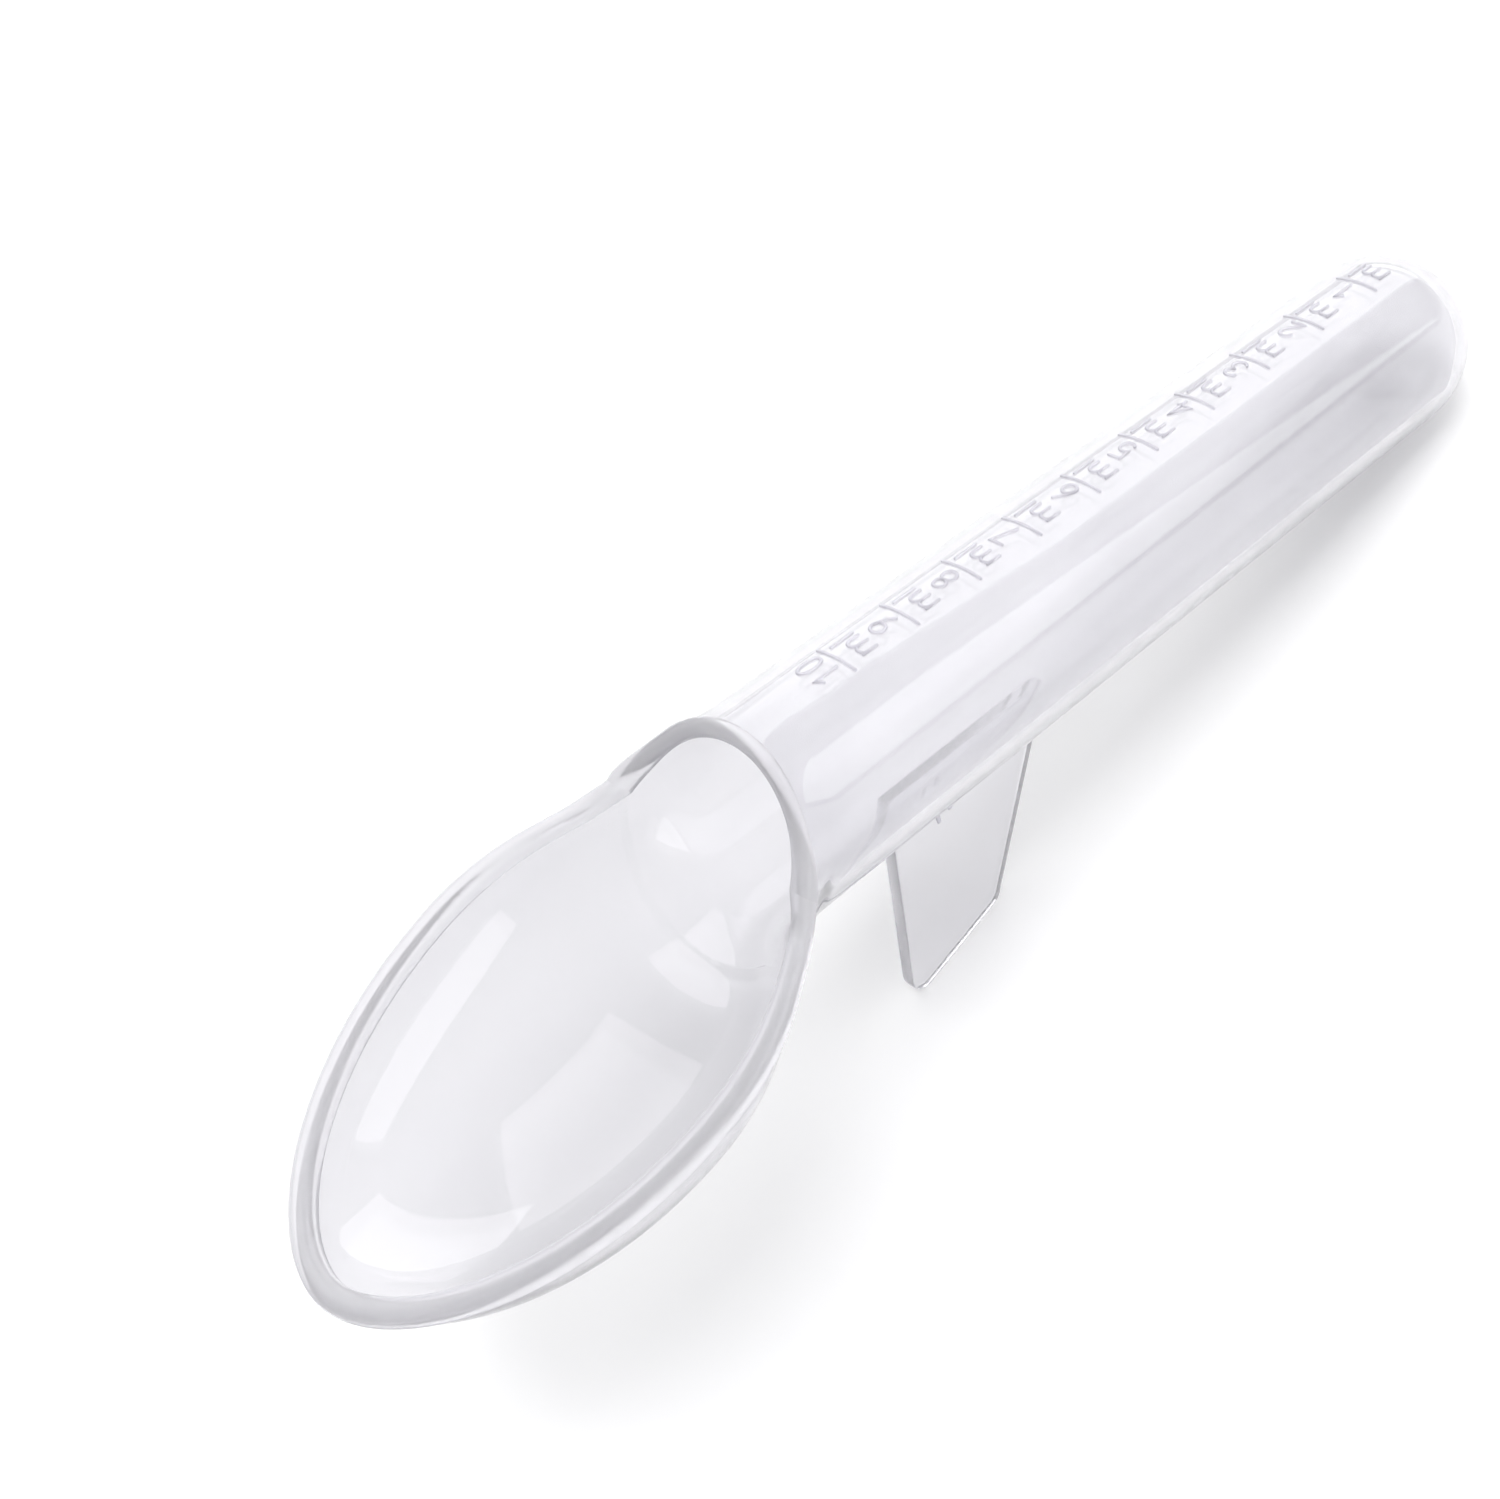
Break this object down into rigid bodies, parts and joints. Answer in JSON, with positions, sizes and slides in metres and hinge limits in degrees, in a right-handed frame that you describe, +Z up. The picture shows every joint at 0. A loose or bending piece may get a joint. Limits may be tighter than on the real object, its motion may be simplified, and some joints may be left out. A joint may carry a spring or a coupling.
{
  "type": "medicine dosing spoon",
  "caption": "Clear dosing spoon: a hollow graduated tube handle, closed by a dome, opens into a spoon bowl and stands on a keel.",
  "frame": {"origin": "on the surface the spoon stands on, under the middle of its length", "axes": "+X along the spoon from the domed end towards the bowl's tip, +Z up out of the open bowl, +Y to the left of +X"},
  "size_m": [0.1224, 0.032, 0.0386],
  "materials": {
    "clear_plastic": "clear, polished",
    "clear_marks": "clear, raised lettering"
  },
  "bodies": {
    "root": {"dome_end": "clear_plastic", "barrel_lower": "clear_plastic", "barrel_upper": "clear_plastic", "mouth_hood": "clear_plastic", "mouth_lip": "clear_plastic", "bowl_shell": "clear_plastic", "rim_bead": "clear_plastic", "stand_fin": "clear_plastic", "fin_marks": "clear_marks", "graduation_01": "clear_marks", "graduation_02": "clear_marks", "graduation_03": "clear_marks", "graduation_04": "clear_marks", "graduation_05": "clear_marks", "graduation_06": "clear_marks", "graduation_07": "clear_marks", "graduation_08": "clear_marks", "graduation_09": "clear_marks", "graduation_10": "clear_marks"}
  },
  "joints": []
}
